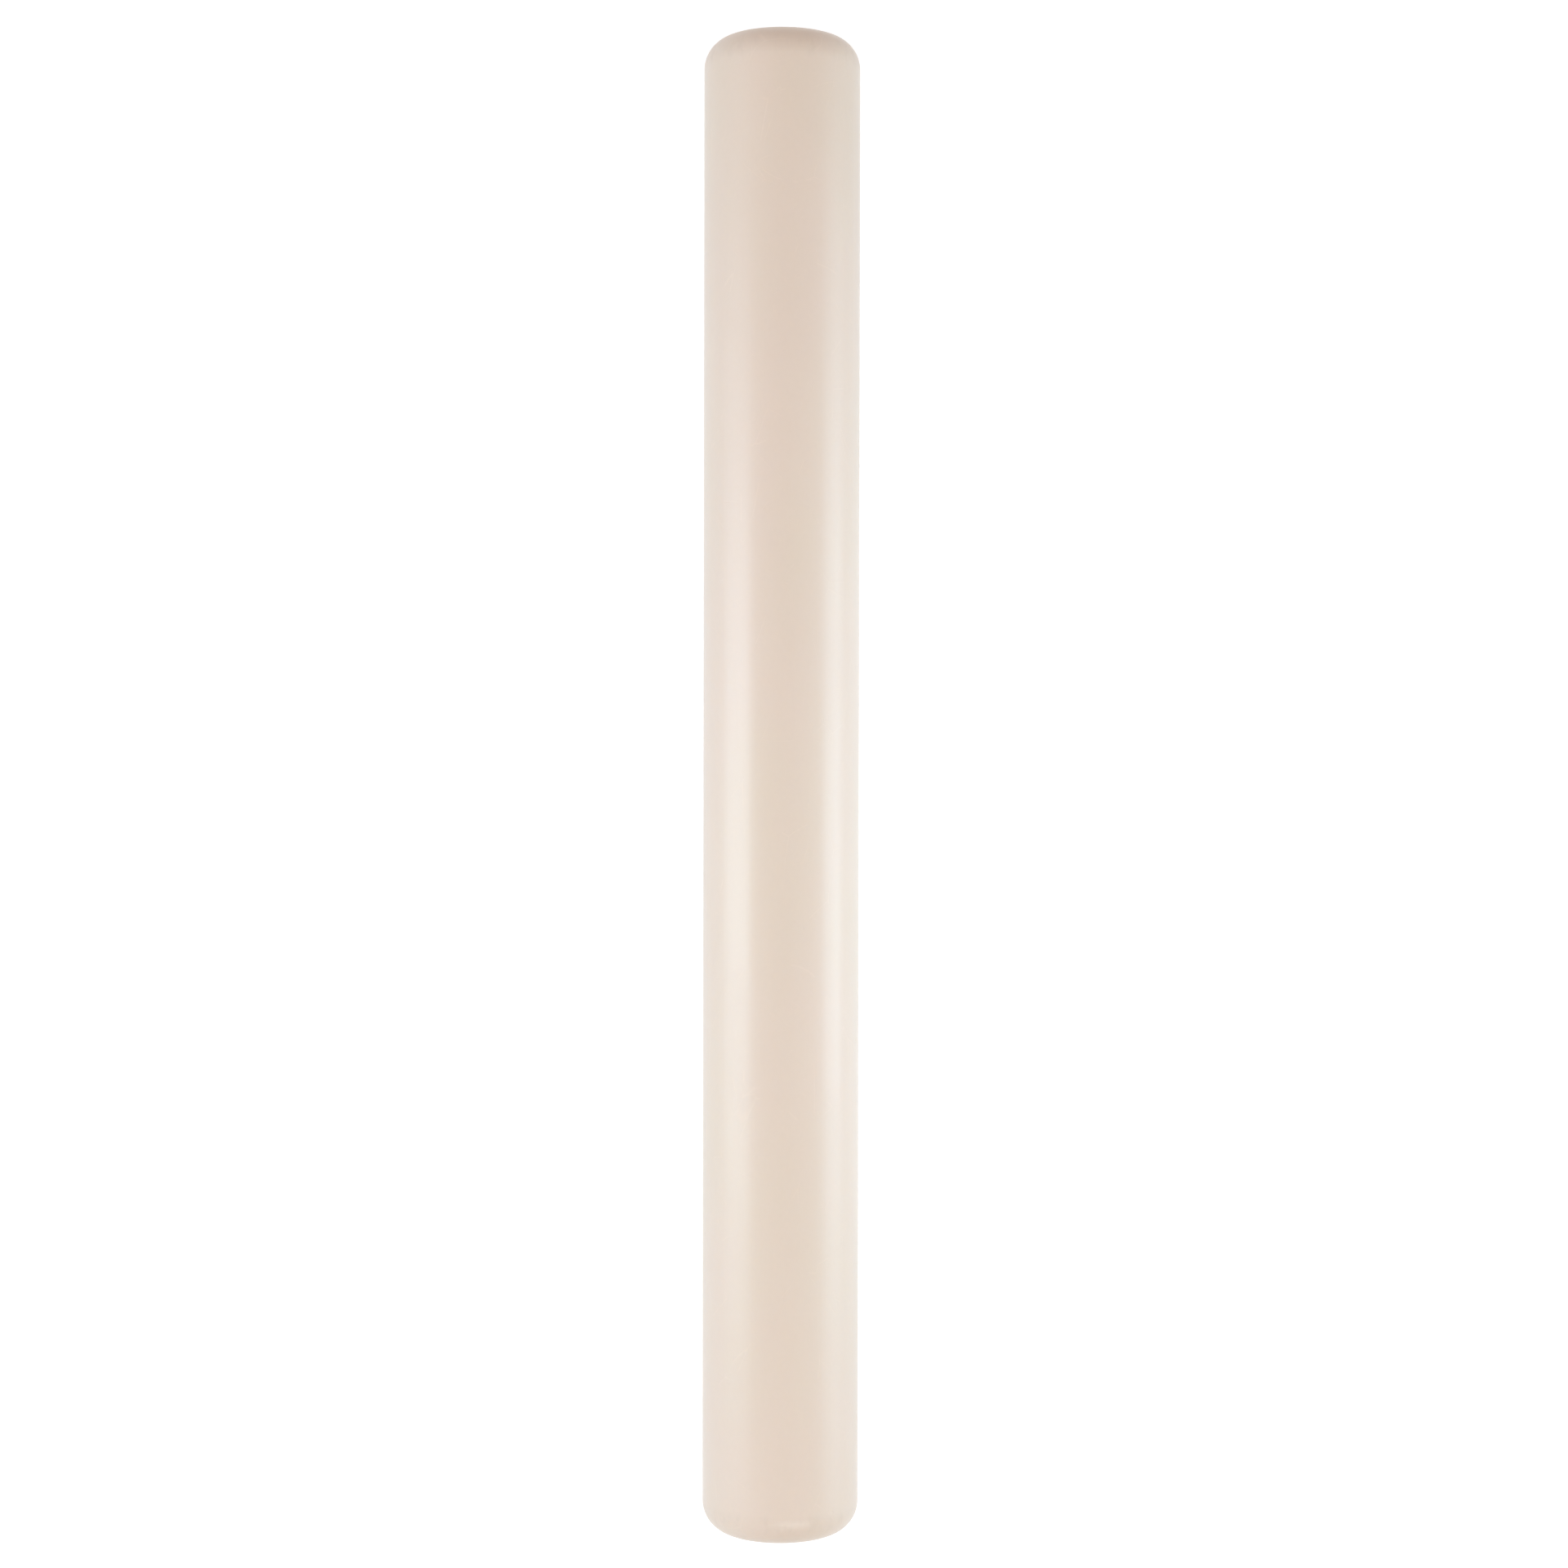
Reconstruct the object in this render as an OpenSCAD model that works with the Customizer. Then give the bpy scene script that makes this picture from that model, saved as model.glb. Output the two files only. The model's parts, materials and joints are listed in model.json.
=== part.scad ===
// Straight pastry rolling pin: one solid length of round plastic rod with both ends rounded on a lathe.
// The pin lies along X with its middle at the origin, so that it rolls about the X axis. Millimetres.

/* [Barrel] */
// Length of the pin, from end face to end face
pin_length = 480; // [300:5:600]
// Diameter of the barrel
barrel_d = 50; // [30:1:70]

/* [Ends] */
// Radius of the rounding between the barrel and each end face
end_r = 10; // [2:0.5:14]

/* [Hidden] */

// Ivory, which is the plastic's own colour all the way through
ivory = [0.91, 0.85, 0.79];
// Facets round a full circle
round_fn = 128;

barrel_r = barrel_d / 2;
// The barrel is straight between the two roundings
barrel_length = pin_length - 2 * end_r;
// Radius of the flat face that the rounding leaves on each end
face_r = barrel_r - end_r;

// The quarter disc that turns the corner between barrel and end face, in the +X +Y quadrant
module corner_round() {
    intersection() {
        circle(r = end_r, $fn = round_fn);
        square(end_r);
    }
}

// Half of the pin's lengthwise section: X is the distance from the roll axis, Y runs along it
module half_section() {
    translate([0, -pin_length / 2])
        square([face_r, pin_length]);
    translate([0, -barrel_length / 2])
        square([barrel_r, barrel_length]);
    for (far_end = [0, 1])
        mirror([0, far_end])
            translate([face_r, barrel_length / 2])
                corner_round();
}

module pin_body() {
    color(ivory)
        rotate([0, 90, 0])
            rotate_extrude($fn = round_fn)
                half_section();
}

pin_body();
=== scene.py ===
import json
from math import cos, pi, radians, sin, sqrt

import bpy
from mathutils import Matrix, Vector


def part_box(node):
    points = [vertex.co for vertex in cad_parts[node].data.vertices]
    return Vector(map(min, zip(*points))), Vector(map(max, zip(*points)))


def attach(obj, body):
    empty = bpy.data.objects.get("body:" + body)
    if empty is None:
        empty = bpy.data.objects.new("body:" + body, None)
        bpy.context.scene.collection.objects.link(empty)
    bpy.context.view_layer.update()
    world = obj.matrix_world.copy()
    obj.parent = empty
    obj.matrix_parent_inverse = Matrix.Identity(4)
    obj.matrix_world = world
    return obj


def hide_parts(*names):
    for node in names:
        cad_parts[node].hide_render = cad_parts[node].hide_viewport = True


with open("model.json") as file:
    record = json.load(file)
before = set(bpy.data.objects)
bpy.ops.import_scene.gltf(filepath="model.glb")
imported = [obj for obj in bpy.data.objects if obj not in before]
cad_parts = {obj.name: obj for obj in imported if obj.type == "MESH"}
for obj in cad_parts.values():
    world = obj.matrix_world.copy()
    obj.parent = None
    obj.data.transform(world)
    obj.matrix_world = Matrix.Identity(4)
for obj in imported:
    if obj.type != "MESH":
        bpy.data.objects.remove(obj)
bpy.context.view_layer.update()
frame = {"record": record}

# Pin body: one length of solid ivory plastic rod, cut off, faced and rounded at both ends on a lathe.
# It is the whole pin. The hands roll the bare barrel, so nothing is fixed to it or turns inside it.

# Lengths are in metres
MM = 0.001
barrel = next(mount for mount in frame["record"]["mounts"] if mount["name"] == "barrel")
barrel_r = barrel["dims"]["r_mm"] * MM
barrel_length = barrel["dims"]["length_mm"] * MM
pin_low, pin_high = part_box("pin_body")
pin_length = pin_high.x - pin_low.x
end_r = (pin_length - barrel_length) / 2
# The last point of a turn falls on the first. The rings are those of one half of the rod.
POINTS_ROUND = 193
BARREL_RINGS = 48
ROUNDING_RINGS = 24
FACE_RINGS = 16
# Points nearer to each other than this become one, which closes the seams
SEAM = 0.001 * MM


def add_node(tree, kind, inputs=None, **settings):
    """A new node with its settings made and its inputs linked or filled in."""
    made = tree.nodes.new(kind)
    for name, value in settings.items():
        setattr(made, name, value)
    for key, value in (inputs or {}).items():
        if isinstance(value, bpy.types.NodeSocket):
            tree.links.new(value, made.inputs[key])
        else:
            made.inputs[key].default_value = value
    return made


def reckon(tree, operation, *values):
    """The result of one sum on numbers or sockets."""
    return add_node(tree, "ShaderNodeMath", dict(enumerate(values)), operation=operation).outputs[0]


def turned_rod_tree():
    """The rod as a lathe makes it: half of it swept round the X axis, and that half turned end for end."""
    tree = bpy.data.node_groups.new("turned_rod", "GeometryNodeTree")
    for name, kind in (
        ("Barrel Length", "NodeSocketFloat"),
        ("Barrel Radius", "NodeSocketFloat"),
        ("End Radius", "NodeSocketFloat"),
        ("Points Round", "NodeSocketInt"),
        ("Barrel Rings", "NodeSocketInt"),
        ("Rounding Rings", "NodeSocketInt"),
        ("Face Rings", "NodeSocketInt"),
        ("Plastic", "NodeSocketMaterial"),
    ):
        tree.interface.new_socket(name=name, in_out="INPUT", socket_type=kind)
    tree.interface.new_socket(name="Rod", in_out="OUTPUT", socket_type="NodeSocketGeometry")
    given = add_node(tree, "NodeGroupInput").outputs
    on_sheet = add_node(tree, "GeometryNodeInputPosition").outputs[0]
    place = add_node(tree, "ShaderNodeSeparateXYZ", {0: on_sheet}).outputs
    # Each sheet is a square with sides of 1: share runs along it from 0 to 1, and turn across it full circle
    share = reckon(tree, "ADD", place["X"], 0.5)
    turn = reckon(tree, "MULTIPLY", place["Y"], 2 * pi)
    half_barrel = reckon(tree, "MULTIPLY", given["Barrel Length"], 0.5)
    face_r = reckon(tree, "SUBTRACT", given["Barrel Radius"], given["End Radius"])
    corner = reckon(tree, "MULTIPLY", share, pi / 2)
    # Each band gives its count of rings, how far along X a ring lies and how far out
    bands = (
        (
            given["Barrel Rings"],
            reckon(tree, "MULTIPLY", share, half_barrel),
            given["Barrel Radius"],
        ),
        (
            given["Rounding Rings"],
            reckon(tree, "MULTIPLY_ADD", reckon(tree, "SINE", corner), given["End Radius"], half_barrel),
            reckon(tree, "MULTIPLY_ADD", reckon(tree, "COSINE", corner), given["End Radius"], face_r),
        ),
        (
            given["Face Rings"],
            reckon(tree, "ADD", half_barrel, given["End Radius"]),
            reckon(tree, "MULTIPLY", face_r, reckon(tree, "SUBTRACT", 1, share)),
        ),
    )
    half = add_node(tree, "GeometryNodeJoinGeometry")
    for rings, along, out in bands:
        sheet = add_node(tree, "GeometryNodeMeshGrid", {
            "Size X": 1, "Size Y": 1, "Vertices X": rings, "Vertices Y": given["Points Round"],
        })
        ring = add_node(tree, "ShaderNodeCombineXYZ", {
            "X": along,
            "Y": reckon(tree, "MULTIPLY", out, reckon(tree, "COSINE", turn)),
            "Z": reckon(tree, "MULTIPLY", out, reckon(tree, "SINE", turn)),
        })
        swept = add_node(tree, "GeometryNodeSetPosition", {
            "Geometry": sheet.outputs["Mesh"], "Position": ring.outputs[0],
        })
        tree.links.new(swept.outputs[0], half.inputs[0])
    other_half = add_node(tree, "GeometryNodeTransform", {
        "Geometry": half.outputs[0], "Rotation": (0, 0, pi),
    })
    rod = add_node(tree, "GeometryNodeJoinGeometry")
    for part in (half, other_half):
        tree.links.new(part.outputs[0], rod.inputs[0])
    closed = add_node(tree, "GeometryNodeMergeByDistance", {"Geometry": rod.outputs[0], "Distance": SEAM})
    smooth = add_node(tree, "GeometryNodeSetShadeSmooth", {"Geometry": closed.outputs[0]})
    real = add_node(tree, "GeometryNodeRealizeInstances", {"Geometry": smooth.outputs[0]})
    dressed = add_node(tree, "GeometryNodeSetMaterial", {
        "Geometry": real.outputs[0], "Material": given["Plastic"],
    })
    add_node(tree, "NodeGroupOutput", {"Rod": dressed.outputs[0]})
    return tree


# What the making and the use of the rod leave on its plastic, and a painted shade on its ends. Each mark has
# the change of roughness that it brings, its height in millimetres, which is negative where it is cut in,
# and its change of shade.
MARKS = {
    "fine_die_lines": (0.02, 0.007, 0.0),
    "broad_die_lines": (0.0, 0.014, 0.0),
    "satin_grain": (0.01, 0.005, 0.0),
    "lathe_rings": (0.0, 0.003, 0.0),
    "facing_rings": (0.0, 0.02, 0.0),
    # The cut ends are rougher, and their colour is painted 2% darker: painted shade on the rounded ends and
    # faces
    "cut_ends_with_painted_shade": (0.03, 0.0, -0.02),
    "handled_patches": (0.04, 0.0, -0.008),
    "rubbed_shoulders": (0.07, 0.0, -0.03),
    "hairlines": (0.12, -0.012, 0.03),
    "nicks": (0.0, -0.03, 0.0),
    "specks": (0.0, 0.0, 0.03),
}
# Uneven patterns: the length of a lump along X, Y and Z in millimetres, how finely it is broken up, and
# how far the pattern is shifted, which keeps one from repeating another
LUMPS = {
    "fine_die_lines": ((150, 0.9, 0.9), 3, 0),
    "broad_die_lines": ((260, 5, 5), 2, 7),
    "satin_grain": ((0.7, 0.7, 0.7), 3, 6),
    "unsteady_cuts": ((6, 6, 6), 2, 0),
    "handled_patches": ((45, 22, 22), 4, 30.5),
    "rubbed_patches": ((7, 3, 3), 4, 9),
    "specks": ((1.5, 1.5, 1.5), 4, 4),
    "clouds": ((90, 30, 30), 3, 1),
}
# Where only the high parts of a pattern count: the levels at which a patch starts and at which it is full
PATCHES = {
    "handled_patches": (0.45, 0.65),
    "rubbed_patches": (0.48, 0.66),
    "clouds": (0.3, 0.7),
}
# Two sets of hairlines: their turn about X, Y and Z, their length, gap and width in millimetres, and shift
HAIRLINES = (
    ((0.3, 0.2, 0.5), 70, 13, 0.16, 2),
    ((0.9, 0.1, -0.9), 50, 17, 0.14, 5),
)
# A hairline shows in pieces, each this share of its length, where a pattern lies over these levels
HAIRLINE_PIECE = 1 / 5
HAIRLINE_SHOWS = (0.56, 0.62)
# Nicks lie about this far apart, and each starts and is full at these shares of that, from its middle
NICK_SPACING = 19 * MM
NICK_EDGES = (0.035, 0.015)
# How far the tool moves in one turn over the rounding and over the flat face, and how unsteadily, in turns
LATHE_CUT = 0.45 * MM
FACING_CUT = 1.1 * MM
CUT_DRIFT = 1.5
# The cut surface and the painted shade on the ends fade in from this far before the rounding starts to this
# far beyond
CUT_START = 1.5 * MM
# The rubbed band starts half of this before the rounding starts, and ends twice this beyond
SHOULDER = 4 * MM
# The marks of facing start and are full this far inside the end of the rod
FACE_EDGES = (0.6 * MM, 0.1 * MM)
LEAST_ROUGHNESS = 0.276
PLAIN_SHADE = 0.985
IVORY_PINK = (0.752, 0.646, 0.560, 1)
IVORY_CREAM = (0.742, 0.650, 0.551, 1)
# How strongly the plastic bends light, what share of the light goes in, how deep, and what shares of that
# depth its red, green and blue reach
REFRACTION = 1.5
LIGHT_INSIDE = 0.3
LIGHT_DEPTH = 4 * MM
DEPTH_BY_COLOUR = (1.0, 0.8, 0.6)


def lumps(tree, place, size, detail, shift):
    """Noise from 0 to 1 whose lumps are about as long along X, Y and Z as size says, in millimetres."""
    spread = add_node(tree, "ShaderNodeMapping", {
        "Vector": place,
        "Location": (shift, shift, shift),
        "Scale": [1 / (side * MM) for side in size],
    })
    noise = add_node(tree, "ShaderNodeTexNoise", {"Vector": spread.outputs[0], "Scale": 1, "Detail": detail})
    return noise.outputs[0]


def ramp(tree, value, start, end):
    """0 up to start, 1 from end on, and a smooth change between them, whichever of the two is the larger."""
    falls = start > end
    made = add_node(tree, "ShaderNodeMapRange", {
        "Value": value,
        "From Min": min(start, end),
        "From Max": max(start, end),
        "To Min": 1.0 if falls else 0.0,
        "To Max": 0.0 if falls else 1.0,
    }, interpolation_type="SMOOTHSTEP")
    return made.outputs[0]


def patches(tree, place, name):
    """1 on the patches of this name and 0 between them."""
    return ramp(tree, lumps(tree, place, *LUMPS[name]), *PATCHES[name])


def hairlines(tree, place, turn, length, gap, width, shift):
    """1 on fine straight scratches that all run nearly one way, and 0 between them."""
    turned = add_node(tree, "ShaderNodeVectorRotate", {
        "Vector": place, "Rotation": turn,
    }, rotation_type="EULER_XYZ")
    spread = add_node(tree, "ShaderNodeMapping", {
        "Vector": turned.outputs[0],
        "Location": (shift, shift, shift),
        "Scale": [1 / (side * MM) for side in (length, gap, gap)],
    })
    cells = add_node(tree, "ShaderNodeTexVoronoi", {
        "Vector": spread.outputs[0], "Scale": 1,
    }, feature="DISTANCE_TO_EDGE")
    # Each line is rubbed out again over most of its length, which leaves short scratches
    piece = length * HAIRLINE_PIECE
    kept = ramp(tree, lumps(tree, place, (piece, piece, piece), 2, shift), *HAIRLINE_SHOWS)
    return reckon(tree, "MULTIPLY", ramp(tree, cells.outputs["Distance"], width / gap, 0), kept)


def marks_on(tree, place):
    """Where each of the marks lies on the rod, from 0 for none to 1 for the full mark."""
    axes = add_node(tree, "ShaderNodeSeparateXYZ", {0: place}).outputs
    from_middle = reckon(tree, "ABSOLUTE", axes["X"])
    across = add_node(tree, "ShaderNodeCombineXYZ", {"Y": axes["Y"], "Z": axes["Z"]}).outputs[0]
    from_axis = add_node(tree, "ShaderNodeVectorMath", {0: across}, operation="LENGTH").outputs["Value"]
    rounding_starts = barrel_length / 2
    rod_ends = pin_length / 2
    # The cut ends carry the lathe rings, a rougher finish and a painted shade that darkens the rounded ends
    cut_ends_with_painted_shade = ramp(tree, from_middle, rounding_starts - CUT_START, rounding_starts + CUT_START)
    end_faces = ramp(tree, from_middle, *[rod_ends - inside for inside in FACE_EDGES])
    # One cut of the lathe lies beside the other, over the rounding and on to the middle of the face
    drift = reckon(tree, "MULTIPLY", lumps(tree, place, *LUMPS["unsteady_cuts"]), CUT_DRIFT * 2 * pi)
    rings = []
    for pitch in (LATHE_CUT, FACING_CUT):
        cuts = reckon(tree, "MULTIPLY", reckon(tree, "SUBTRACT", from_middle, from_axis), 2 * pi / pitch)
        rings.append(reckon(tree, "SINE", reckon(tree, "ADD", cuts, drift)))
    shoulders = reckon(tree, "MULTIPLY",
        ramp(tree, from_middle, rounding_starts - SHOULDER / 2, rounding_starts + SHOULDER / 2),
        ramp(tree, from_middle, rounding_starts + 2 * SHOULDER, rounding_starts + SHOULDER))
    scratches = [hairlines(tree, place, *run) for run in HAIRLINES]
    nicks = add_node(tree, "ShaderNodeTexVoronoi", {"Vector": place, "Scale": 1 / NICK_SPACING})
    found = {
        "lathe_rings": reckon(tree, "MULTIPLY", rings[0], cut_ends_with_painted_shade),
        "facing_rings": reckon(tree, "MULTIPLY", rings[1], end_faces),
        "cut_ends_with_painted_shade": cut_ends_with_painted_shade,
        "handled_patches": patches(tree, place, "handled_patches"),
        "rubbed_shoulders": reckon(tree, "MULTIPLY", shoulders, patches(tree, place, "rubbed_patches")),
        "hairlines": reckon(tree, "MAXIMUM", *scratches),
        "nicks": ramp(tree, nicks.outputs["Distance"], *NICK_EDGES),
    }
    for name in ("fine_die_lines", "broad_die_lines", "satin_grain", "specks"):
        found[name] = lumps(tree, place, *LUMPS[name])
    return found


def ivory_plastic():
    """Ivory plastic, satin and a little translucent, with faint clouds in its colour and its marks on it."""
    made = bpy.data.materials.new("satin_ivory_plastic")
    made.use_nodes = True
    tree = made.node_tree
    place = add_node(tree, "ShaderNodeTexCoord").outputs["Object"]
    found = marks_on(tree, place)
    roughness, height, shade = LEAST_ROUGHNESS, 0.0, PLAIN_SHADE
    for name, (rougher, raised, paler) in MARKS.items():
        if rougher:
            roughness = reckon(tree, "MULTIPLY_ADD", found[name], rougher, roughness)
        if raised:
            height = reckon(tree, "MULTIPLY_ADD", found[name], raised, height)
        if paler:
            shade = reckon(tree, "MULTIPLY_ADD", found[name], paler, shade)
    # A mix has its share at 0, its two numbers at 2 and 3, and its two colours at 6 and 7
    tone = add_node(tree, "ShaderNodeMix", {
        0: patches(tree, place, "clouds"), 6: IVORY_PINK, 7: IVORY_CREAM,
    }, data_type="RGBA")
    colour = add_node(tree, "ShaderNodeVectorMath", {0: tone.outputs[2], 1: shade}, operation="MULTIPLY")
    relief = add_node(tree, "ShaderNodeBump", {"Distance": MM, "Height": height})
    surface = tree.nodes["Principled BSDF"]
    tree.links.new(colour.outputs[0], surface.inputs["Base Color"])
    tree.links.new(roughness, surface.inputs["Roughness"])
    tree.links.new(relief.outputs[0], surface.inputs["Normal"])
    surface.inputs["IOR"].default_value = REFRACTION
    surface.inputs["Subsurface Weight"].default_value = LIGHT_INSIDE
    surface.inputs["Subsurface Radius"].default_value = DEPTH_BY_COLOUR
    surface.inputs["Subsurface Scale"].default_value = LIGHT_DEPTH
    return made


def plain_piece(name, tree, values):
    """What a Geometry Nodes tree makes with these inputs, as an object with no modifier left on it."""
    piece = bpy.data.objects.new(name, bpy.data.meshes.new(name))
    bpy.context.collection.objects.link(piece)
    maker = piece.modifiers.new(tree.name, "NODES")
    maker.node_group = tree
    for item in tree.interface.items_tree:
        if item.in_out == "INPUT":
            maker[item.identifier] = values[item.name]
    made = bpy.data.meshes.new_from_object(piece.evaluated_get(bpy.context.evaluated_depsgraph_get()))
    piece.modifiers.remove(maker)
    piece.data = made
    made.name = name
    # The tree leaves an empty slot before the one with the material
    while made.materials[0] is None:
        made.materials.pop(index=0)
    return piece


pin = plain_piece("turned_pin", turned_rod_tree(), {
    "Barrel Length": barrel_length,
    "Barrel Radius": barrel_r,
    "End Radius": end_r,
    "Points Round": POINTS_ROUND,
    "Barrel Rings": BARREL_RINGS,
    "Rounding Rings": ROUNDING_RINGS,
    "Face Rings": FACE_RINGS,
    "Plastic": ivory_plastic(),
})
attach(pin, "root")
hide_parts("pin_body")

# Table: a wide board that the pin lies on. Its paint is mid grey, so that it throws little light up at the
# pin, and a glow that only the camera and reflections see makes it white, with a soft shadow by the pin.

TABLE_SIDE = 12.0
PAINT = (0.45, 0.45, 0.45, 1)
PAINT_GLOW = 0.72
bpy.ops.mesh.primitive_plane_add(size=TABLE_SIDE, location=(0, 0, pin_low.z))
table = bpy.context.object
table.name = "table"


def seen_directly(tree):
    """1 for a camera ray or a mirrored one, and 0 for light that the surface throws on other things."""
    path = add_node(tree, "ShaderNodeLightPath").outputs
    seen = reckon(tree, "MAXIMUM", path["Is Camera Ray"], path["Is Glossy Ray"])
    return reckon(tree, "MAXIMUM", seen, path["Is Transmission Ray"])


board = bpy.data.materials.new("white_board")
board.use_nodes = True
tree = board.node_tree
tree.nodes.remove(tree.nodes["Principled BSDF"])
paint = add_node(tree, "ShaderNodeBsdfDiffuse", {"Color": PAINT})
shine = add_node(tree, "ShaderNodeEmission", {
    "Strength": reckon(tree, "MULTIPLY", seen_directly(tree), PAINT_GLOW),
})
white = add_node(tree, "ShaderNodeAddShader", {0: paint.outputs[0], 1: shine.outputs[0]})
tree.links.new(white.outputs[0], tree.nodes["Material Output"].inputs["Surface"])
table.data.materials.append(board)

# Light: a cool soft box low on each side of the pin, a nearly neutral one high beyond its left end, and a
# dim warm room all round. The cloth front of a box is brightest across its middle and fades to both ends.

pin_middle = Vector((0, 0, 0))


def soft_box(name, lean, distance, across, along, shift, glow, tint, upper, lower):
    """A soft box that faces the pin, lean degrees down from overhead, towards +Y where lean is positive.

    Its front is distance from the pin, moved by shift along X, and measures across by along, which is its
    side along X. glow is how bright the front is, where a white wall of the room has 1. upper and lower
    are the shares of that which its upper and lower edges have.
    """
    lamp = bpy.data.lights.new(name, "AREA")
    lamp.shape = "RECTANGLE"
    lamp.size = along
    lamp.size_y = across
    lamp.energy = glow * pi * along * across
    lamp.color = tint
    lamp.use_nodes = True
    tree = lamp.node_tree
    on_front = add_node(tree, "ShaderNodeNewGeometry").outputs["Parametric"]
    front = add_node(tree, "ShaderNodeSeparateXYZ", {0: on_front})
    from_middle = reckon(tree, "ABSOLUTE", reckon(tree, "SUBTRACT", front.outputs["X"], 0.5))
    to_end = ramp(tree, from_middle, 0.5, 0.0)
    to_edge = add_node(tree, "ShaderNodeMapRange", {
        "Value": front.outputs["Y"], "To Min": upper, "To Max": lower,
    })
    tree.links.new(
        reckon(tree, "MULTIPLY", to_end, to_edge.outputs[0]),
        tree.nodes["Emission"].inputs["Strength"],
    )
    box = bpy.data.objects.new(name, lamp)
    bpy.context.collection.objects.link(box)
    away = Vector((0, sin(radians(lean)), cos(radians(lean))))
    right = Vector((1, 0, 0))
    box.matrix_world = Matrix((right, away.cross(right), away)).transposed().to_4x4()
    box.location = pin_middle + away * distance + right * shift


soft_box(
    "left_box", lean=67.7, distance=0.61, across=0.475, along=0.76, shift=-0.044,
    glow=4.75, tint=(0.795, 1, 1.157), upper=1.0, lower=0.49,
)
soft_box(
    "right_box", lean=-79.2, distance=0.32, across=0.18, along=0.84, shift=-0.028,
    glow=3.68, tint=(0.75, 1, 1.18), upper=0.9, lower=0.7,
)
soft_box(
    "top_box", lean=-19, distance=1.5, across=1.6, along=1.2, shift=-1.48,
    glow=4.12, tint=(0.895, 1, 0.98), upper=1.0, lower=1.0,
)

# The room's light is dim and warm, while the camera and reflections see it plain white
ROOM_LIGHT = 0.62
ROOM_TINT = (1.15, 1, 0.925, 1)
WHITE = (1, 1, 1, 1)
world = bpy.data.worlds.new("pale_room")
bpy.context.scene.world = world
world.use_nodes = True
tree = world.node_tree
room = tree.nodes["Background"]
seen = seen_directly(tree)
strength = add_node(tree, "ShaderNodeMix", {0: seen, 2: ROOM_LIGHT, 3: 1.0})
tree.links.new(strength.outputs[0], room.inputs["Strength"])
tone = add_node(tree, "ShaderNodeMix", {0: seen, 6: ROOM_TINT, 7: WHITE}, data_type="RGBA")
tree.links.new(tone.outputs[2], room.inputs["Color"])

# Camera: looks straight down at the pin, with the pin's right end at the top of the picture. The lens and
# the aim follow from how wide the barrel is in the picture and where its middle lies.

PICTURE_PX = 1920
BARREL_WIDTH_PX = 190.2
PIN_MIDDLE_PX = (956.5, 962.9)
CAMERA_DISTANCE = 0.95
# The pin's top end is slightly nearer than its bottom end, and the pin leans a little in the picture
END_NEARER = radians(0.6)
PIN_LEAN = radians(0.095)
FILM_WIDTH_MM = 36

focal_px = BARREL_WIDTH_PX / 2 * sqrt(CAMERA_DISTANCE ** 2 - barrel_r ** 2) / barrel_r
back = Vector((sin(END_NEARER), 0, cos(END_NEARER)))
level_up = Vector((cos(END_NEARER), 0, -sin(END_NEARER)))
level_right = level_up.cross(back)
up = level_up * cos(PIN_LEAN) - level_right * sin(PIN_LEAN)
right = up.cross(back)
px = CAMERA_DISTANCE / focal_px
aside = right * (PICTURE_PX / 2 - PIN_MIDDLE_PX[0]) * px + up * (PIN_MIDDLE_PX[1] - PICTURE_PX / 2) * px

lens = bpy.data.cameras.new("camera")
lens.sensor_width = FILM_WIDTH_MM
lens.lens = FILM_WIDTH_MM * focal_px / PICTURE_PX
camera = bpy.data.objects.new("camera", lens)
bpy.context.collection.objects.link(camera)
camera.matrix_world = Matrix((right, up, back)).transposed().to_4x4()
camera.location = pin_middle + back * CAMERA_DISTANCE + aside
bpy.context.scene.camera = camera
bpy.context.scene.view_settings.view_transform = "Standard"
